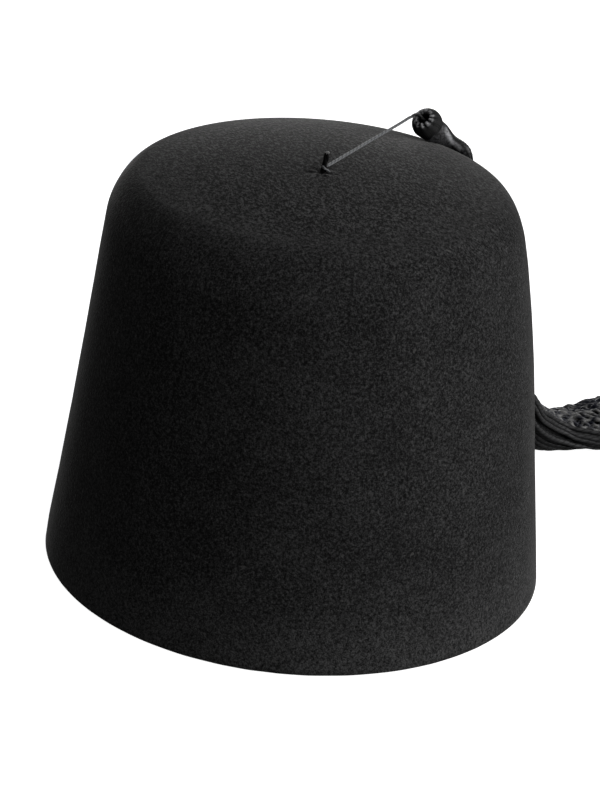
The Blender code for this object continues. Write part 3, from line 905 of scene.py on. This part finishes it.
def neck_material(bead):
    """Dark wound thread, with a pale band that runs down the neck on the slant, a painted highlight for
    the thread's gloss, a black line beside it, a dark underside that is painted shade, and grooves
    between the turns painted darker as painted shade."""
    graph = Graph(bpy.data.materials.new("neck_thread"), Roughness=0.45, Specular_IOR_Level=0.3)
    around, along = graph.around_along()
    groove = 1.0 - ((along / bead.thread_pitch + around * 0.5) * math.pi).sine().size()
    fine = graph.noise(graph.place(), 1200.0, 2.0, 0.6)
    off_band = around - 0.372 - along * 18.5
    line = 1.0 - (off_band + 0.095).size().between(0.010, 0.035)
    # painted shade: the neck's underside and the grooves between its turns are darker, in the tone below
    under = around.between(0.655, 0.725)
    tone = ((1.0 - groove) * 0.5 + (fine - 0.5) * 4.5 + 0.2 - line - under * 0.7).held()
    thread = graph.mix(tone, shade(bead.neck_colour, 0.2), shade(bead.neck_colour, 3.0))
    # painted highlight: the pale band where the thread's gloss runs down the neck
    floss = 1.0 - off_band.size().between(0.010, 0.068)
    floss = floss * (1.0 - along.between(0.0122, 0.0129)) * along.between(0.0020, 0.0036)
    graph.set(Base_Color=graph.mix((floss * (fine * 2.6 - 0.4)).held(), thread, bead.neck_highlight_colour))
    return graph.set(Normal=graph.bump(fine * 1.5 - groove * 0.3, 0.00014))


# Strands of the skirt. Headings are in degrees about the skirt's line: 0 towards the front and 90 on top.

SUNK_BANDS = (
    # lie deeper than the rest: heading, half width, share of the depth, the two shares of the skirt's
    # length over which they sink, and the share from which they come up again
    (11.0, 5.0, 0.35, 0.70, 0.80, 0.84),
    (-43.0, 4.5, 0.45, 0.50, 0.58, 0.72),
    (52.0, 18.0, -0.07, 0.68, 0.78, 1.0),
)
SHADOW_BANDS = (
    # painted shadow in the troughs between groups of strands: heading, half width, how much darker
    (35.0, 4.5, 1.0),
    (11.0, 5.0, 1.2),
    (-43.0, 4.0, 0.6),
)
CRIMPED_FROM, CRIMPED_TO = 10.0, 142.0
CRIMP_LENGTH = 0.0052  # along a strand for one turn of its crimp


def held_in(places, room):
    """Places in an oval; those past its edge are drawn in to it."""
    return places / np.maximum(np.linalg.norm(places / room, axis=-1, keepdims=True), 1.0)


def settled(places, wide, thick, radius, rounds):
    """Points in an oval, pushed apart where they are nearer than two radii, and kept a radius within
    the oval. Whole arrays of pairs are worked out in each round."""
    room = np.array([max(wide - radius, 1e-5), max(thick - radius, 1e-5)])
    for _ in range(rounds):
        apart = places[:, None] - places[None]
        far = np.linalg.norm(apart, axis=-1)
        np.fill_diagonal(far, 1.0)
        push = np.clip(2 * radius - far, 0, None) / far
        places = held_in(places + 0.35 * (apart * push[..., None]).sum(axis=1), room)
    return places


def packed_sections(count, wide, thick, radius, turned):
    """Where the strands lie in each section. They start on a sunflower's spiral, and from one section to
    the next they turn with the skirt, stretch with its oval and settle side by side."""
    spiral = np.arange(count) * math.pi * (3 - math.sqrt(5))
    reach = np.sqrt((np.arange(count) + 0.5) / count)
    flat = np.stack([reach * np.cos(spiral), reach * np.sin(spiral)], axis=-1) * [wide[0], thick[0]]
    sections = [settled(flat, wide[0], thick[0], radius[0], 60)]
    for i, step in enumerate(np.diff(turned), start=1):
        turn = np.array([[math.cos(step), math.sin(step)], [-math.sin(step), math.cos(step)]])
        flat = ((sections[-1] / [wide[i - 1], thick[i - 1]]) @ turn) * [wide[i], thick[i]]
        sections.append(settled(flat, wide[i], thick[i], radius[i], 14))
    return np.stack(sections, axis=1)


def averaged(flats, reach=4):
    """Each section's mean with its neighbours on both sides, weighed by a bell curve."""
    window = bell(np.arange(-reach, reach + 1), 0.0, 2.0)
    window /= window.sum()
    padded = np.pad(flats, ((0, 0), (reach, reach), (0, 0)), mode="edge")
    return sum(w * padded[:, i : i + flats.shape[1]] for i, w in enumerate(window))


def strand_paths(tassel, crown, stations):
    """Where each strand runs. In every section of the skirt the strands lie side by side in its oval,
    and each keeps its place from one section to the next as near as the others let it. The skirt turns
    back by about a third of its turn before it lands, and then forwards by all of it. The strands sway
    by three sines, and some bands of them sink. A strand's heading is where it ends up."""
    first = NECK_END - 0.004
    shares = first + (1 - first) * np.linspace(0, 1, stations) ** 1.1
    place, wide, thick, sideways, outwards = tassel_rows(crown, shares)
    thick = thick * (1 + 0.13 * bell(shares, 0.645, 0.035))
    count = tassel.strands
    radius = np.minimum(np.sqrt(tassel.fill * wide * thick / count), tassel.thickest)
    turned = tassel.turn * (eased(shares, 0.72, 0.87) - 0.35 * eased(shares, 0.58, 0.66))
    flats = averaged(packed_sections(count, wide, thick, radius, turned))

    rng = np.random.default_rng(11)
    along = np.linspace(0, 1, stations)[None, :, None]
    sway = np.zeros((count, stations, 2))
    for waves in (2.0, 3.7, 6.5):
        phase = rng.uniform(0, math.tau, (count, 1, 2))
        sway += np.sin(waves * math.tau * along + phase) / waves
    room = np.stack([wide - radius, thick - radius], axis=-1)
    flats = held_in(flats + sway * 0.0010 * eased(along, 0.3, 1.0) * [1.0, 0.45], room)
    end = flats[:, -12] / room[-12]
    headings = np.degrees(np.arctan2(end[:, 1], -end[:, 0]))
    for middle, width, depth, low, high, last in SUNK_BANDS:
        sunk = eased(shares, low, high) - eased(shares, last, last + 0.07)
        flats = flats * (1 - depth * bell(headings, middle, width)[:, None, None] * sunk[:, None])
    places = place + flats[..., :1] * sideways + flats[..., 1:] * outwards
    places[..., 2] = np.maximum(places[..., 2], radius + REST_GAP)
    return places, headings, radius, outwards


def resample(values, shares):
    """Values along a path, shaped (strands, stations, n), read at these shares by straight lines."""
    at = np.asarray(shares) * (values.shape[1] - 1)
    low = np.clip(np.floor(at).astype(int), 0, values.shape[1] - 2)
    rest = (at - low)[..., None]
    return values[:, low] * (1 - rest) + values[:, low + 1] * rest


def build_strands(tassel, crown):
    """The skirt: the strands' paths, each carried by a ring of plies. The strands that lie on top and
    behind are crimped, as a small helix whose pitch and size wander. Their tones fall from the front
    to behind; some bands are painted darker, as painted shadow in the troughs between groups of strands;
    and each strand turns lighter and darker along its length, once for each crimp, as painted highlights
    and shade."""
    places, headings, radius, outwards = strand_paths(tassel, crown, 90)
    rng = np.random.default_rng(23)
    crimped = (headings > CRIMPED_FROM) & (headings < CRIMPED_TO)
    own = rng.uniform(0, 1, tassel.strands)
    tones = np.where(crimped, 0.6 * own + 0.45 - 0.85 * eased(headings, 58, 92), own)
    # painted shadow: the strands in these bands are darker
    for middle, width, darker in SHADOW_BANDS:
        tones = tones - darker * bell(headings, middle, width)
    pitch, long_pitch = tassel.strand_pitch, tassel.crimped_pitch
    dark, light = shade(tassel.strand_colour, 0.15), shade(tassel.strand_colour, 2.6)
    plain = ply_material("tassel_thread", dark, light, pitch, 2, 0.46, 0.5, 0.14)
    dark, light = tassel.shadow_colour, tassel.crimp_highlight_colour
    fancy = ply_material("crimped_thread", dark, light, long_pitch, 2, 0.38, 0.5, 0.3, 0.0003)
    even = np.linspace(0, 1, 170)
    dense = np.concatenate([np.linspace(0, 0.45, 40, endpoint=False), np.linspace(0.45, 1, 260)])
    for name, chosen, shares, depth, lay, crimp, swell, size, crimp_glints, material, nodes in (
        ("strands_plain", ~crimped, even, 0.0, pitch, 0.0, 0.05, 1.10, 0.10, plain, ("tassel",)),
        ("strands_crimped", crimped, dense, 0.34, long_pitch, 0.00045, 0.16, 1.12, 0.55, fancy, ()),
    ):
        paths = resample(places[chosen], shares)
        guide = resample(outwards[None], shares)
        lengths = lengths_along(paths)
        phase, drift = rng.uniform(0, math.tau, (2, len(paths), 1))
        thick = resample(radius[None, :, None], shares)[..., 0]
        thick = thick * (1 + swell * np.sin(math.tau * lengths / 0.0083 + drift)) * size
        sideways, out = carried_frames(paths, guide)
        wind = math.tau * lengths / CRIMP_LENGTH + phase + 1.6 * np.sin(math.tau * lengths / 0.021 + drift)
        wide = crimp * eased(shares, 0.45, 0.7) * (1 + 0.5 * np.sin(math.tau * lengths / 0.0137 + phase))
        paths = paths + (wide * np.cos(wind))[..., None] * out + (wide * np.sin(wind))[..., None] * sideways
        paths[..., 2] = np.maximum(paths[..., 2], thick + REST_GAP)
        # painted highlights and shade along each strand, once for each crimp
        glinted_tones = crimp_glints * np.sin(math.tau * lengths / CRIMP_LENGTH + drift + 2 * phase)
        glinted_tones = tones[chosen][:, None] + glinted_tones
        mesh = twisted_tube(name, paths, guide, thick, lay, 2, depth, 8, glinted_tones, lengths)
        finish_piece(mesh, material, "black_thread", *nodes)


# Stage, lights and camera.

LIGHT_TARGET = HAT_AXIS + [0, 0, 0.07]
LIGHT_DISTANCE, LIGHT_SIZE = 1.5, 0.8
SOFT_BOXES = (
    # heading from +X and height over level, in degrees, and share of the light
    ("box_right", 0.0, 8.0, 0.28),
    ("box_right_low", -30.0, 8.0, 0.265),
    ("box_right_high", -30.0, 38.0, 0.0875),
    ("box_front", -60.0, 38.0, 0.125),
    ("box_over", -45.0, 65.0, 0.14),
    ("box_back", 90.0, 8.0, 0.16),
)
CAMERA_TURN, CAMERA_ELEVATION, CAMERA_TIP = -7.63, 22.94, 4.49  # degrees
CAMERA_TARGET = HAT_AXIS + [0, 0, 0.1403 / 2]
CAMERA_DISTANCE, CAMERA_LENS = 1.295, 164.925
CAMERA_RIGHT, CAMERA_UP = -0.00176, -0.00925  # shifts in the picture's plane


def placed(right, up, back, place):
    """The matrix of something at a place that looks against its back."""
    return Matrix([*zip(right, up, back, place), (0, 0, 0, 1)])


def add_light(name, back, power):
    light = bpy.data.lights.new(name, "AREA")
    light.shape = "RECTANGLE"
    light.size, light.size_y = LIGHT_SIZE, LIGHT_SIZE
    light.energy = power
    lamp = bpy.data.objects.new(name, light)
    right = unit(np.cross([0.0, 0.0, 1.0], back))
    lamp.matrix_world = placed(right, np.cross(back, right), back, LIGHT_TARGET + back * LIGHT_DISTANCE)
    lamp.visible_camera = False
    bpy.context.scene.collection.objects.link(lamp)


def build_stage(stage):
    """A white floor that glows, so that shadows on it stay faint, in a white room, and soft boxes in a
    half ring, most of them at the right."""
    half, low = stage.floor / 2, -REST_GAP
    mesh = bpy.data.meshes.new("floor")
    corners = [(-half, -half, low), (half, -half, low), (half, half, low), (-half, half, low)]
    mesh.from_pydata(corners, [], [(0, 1, 2, 3)])
    graph = Graph(bpy.data.materials.new("white_floor"), Roughness=0.9, Specular_IOR_Level=0.0)
    glow = {"Emission_Color": (1.0, 1.0, 1.0), "Emission_Strength": 0.97}
    mesh.materials.append(graph.set(Base_Color=(0.8, 0.8, 0.8), **glow))
    floor = bpy.data.objects.new("floor", mesh)
    bpy.context.scene.collection.objects.link(floor)
    floor.visible_diffuse = False
    floor.visible_glossy = False

    world = bpy.data.worlds.new("white_room")
    bpy.context.scene.world = world
    room = Graph(world, "Background", Color=(1, 1, 1), Strength=stage.ambient)
    seen = room.node("ShaderNodeBackground", {}, {"Color": (1, 1, 1), "Strength": 1.0})
    by_camera = room.node("ShaderNodeLightPath", output="Is Camera Ray")
    shown = room.node("ShaderNodeMixShader", {}, (by_camera, Term(room, room.shader.outputs[0]), seen))
    room.feed(room.tree.nodes["World Output"].inputs["Surface"], shown)

    for name, degrees, height, share in SOFT_BOXES:
        add_light(name, direction(degrees, -height), stage.light * share)
    bpy.context.scene.view_settings.view_transform = "Standard"


def build_camera():
    """Where the picture was taken from: turned a little to the left, 23 degrees above level, far off
    with a long lens, and tipped about the line of sight."""
    tip = math.radians(CAMERA_TIP)
    back, level = direction(CAMERA_TURN - 90.0, -CAMERA_ELEVATION), direction(CAMERA_TURN)
    upwards = np.cross(back, level)
    right = math.cos(tip) * level + math.sin(tip) * upwards
    up = -math.sin(tip) * level + math.cos(tip) * upwards
    data = bpy.data.cameras.new("camera")
    data.lens, data.sensor_width, data.sensor_fit = CAMERA_LENS, 36.0, "AUTO"
    data.clip_start, data.clip_end = 0.05, 50.0
    camera = bpy.data.objects.new("camera", data)
    eye = CAMERA_TARGET + back * CAMERA_DISTANCE + right * CAMERA_RIGHT + up * CAMERA_UP
    camera.matrix_world = placed(right, up, back, eye)
    bpy.context.scene.collection.objects.link(camera)
    bpy.context.scene.camera = camera


# The add-on.


class FEZ_OT_stage(bpy.types.Operator):
    """Set up the white floor, the lights and the camera"""

    bl_idname = "fez.stage"
    bl_label = "Stage and camera"

    def execute(self, context):
        build_camera()
        build_stage(context.scene.fez_stage)
        return {"FINISHED"}


class FEZ_OT_cord(bpy.types.Operator):
    """Lay the cord from the stem to the bead and tie it round the stem"""

    bl_idname = "fez.cord"
    bl_label = "Cord and tie"

    def execute(self, context):
        build_cord(context.scene.fez_cord, context.scene.fez_crown)
        build_tie(context.scene.fez_cord, context.scene.fez_crown)
        return {"FINISHED"}


class FEZ_OT_crown(bpy.types.Operator):
    """Form the felt crown"""

    bl_idname = "fez.crown"
    bl_label = "Felt crown"

    def execute(self, context):
        build_crown(context.scene.fez_crown)
        return {"FINISHED"}


class FEZ_OT_stem(bpy.types.Operator):
    """Stand the twisted stub on the top and fray its end"""

    bl_idname = "fez.stem"
    bl_label = "Stem"

    def execute(self, context):
        build_stem(context.scene.fez_cord, context.scene.fez_crown)
        build_fray(context.scene.fez_cord, context.scene.fez_crown)
        return {"FINISHED"}


class FEZ_OT_bead(bpy.types.Operator):
    """Wind the bead and the tassel's neck"""

    bl_idname = "fez.bead"
    bl_label = "Bead and neck"

    def execute(self, context):
        build_bead(context.scene.fez_bead, context.scene.fez_crown)
        build_neck(context.scene.fez_bead, context.scene.fez_crown)
        return {"FINISHED"}


class FEZ_OT_strands(bpy.types.Operator):
    """Lay the strands of the tassel"""

    bl_idname = "fez.strands"
    bl_label = "Tassel strands"

    def execute(self, context):
        build_strands(context.scene.fez_tassel, context.scene.fez_crown)
        return {"FINISHED"}


class FEZ_PT_panel(bpy.types.Panel):
    """The operators in order, with the sizes and colours that they read"""

    bl_idname = "FEZ_PT_panel"
    bl_label = "Felt fez"
    bl_space_type = "VIEW_3D"
    bl_region_type = "UI"
    bl_category = "Fez"

    def draw(self, context):
        scene = context.scene
        for operators, settings in (
            (("fez.stage",), scene.fez_stage),
            (("fez.cord", "fez.stem"), scene.fez_cord),
            (("fez.crown",), scene.fez_crown),
            (("fez.bead",), scene.fez_bead),
            (("fez.strands",), scene.fez_tassel),
        ):
            box = self.layout.box()
            for operator in operators:
                box.operator(operator)
            for prop in settings.bl_rna.properties.keys():
                if prop not in ("rna_type", "name"):
                    box.prop(settings, prop)


SETTINGS = {
    "fez_stage": StageSettings,
    "fez_cord": CordSettings,
    "fez_crown": CrownSettings,
    "fez_bead": BeadSettings,
    "fez_tassel": TasselSettings,
}
OPERATORS = (FEZ_OT_stage, FEZ_OT_cord, FEZ_OT_crown, FEZ_OT_stem, FEZ_OT_bead, FEZ_OT_strands)


def register():
    for group in (*SETTINGS.values(), *OPERATORS, FEZ_PT_panel):
        bpy.utils.register_class(group)
    for name, group in SETTINGS.items():
        setattr(bpy.types.Scene, name, PointerProperty(type=group))


def unregister():
    for name in SETTINGS:
        delattr(bpy.types.Scene, name)
    for group in reversed((*SETTINGS.values(), *OPERATORS, FEZ_PT_panel)):
        bpy.utils.unregister_class(group)


def main():
    register()
    for operator in OPERATORS:
        group, name = operator.bl_idname.split(".")
        getattr(getattr(bpy.ops, group), name)()


if __name__ == "__main__":
    main()
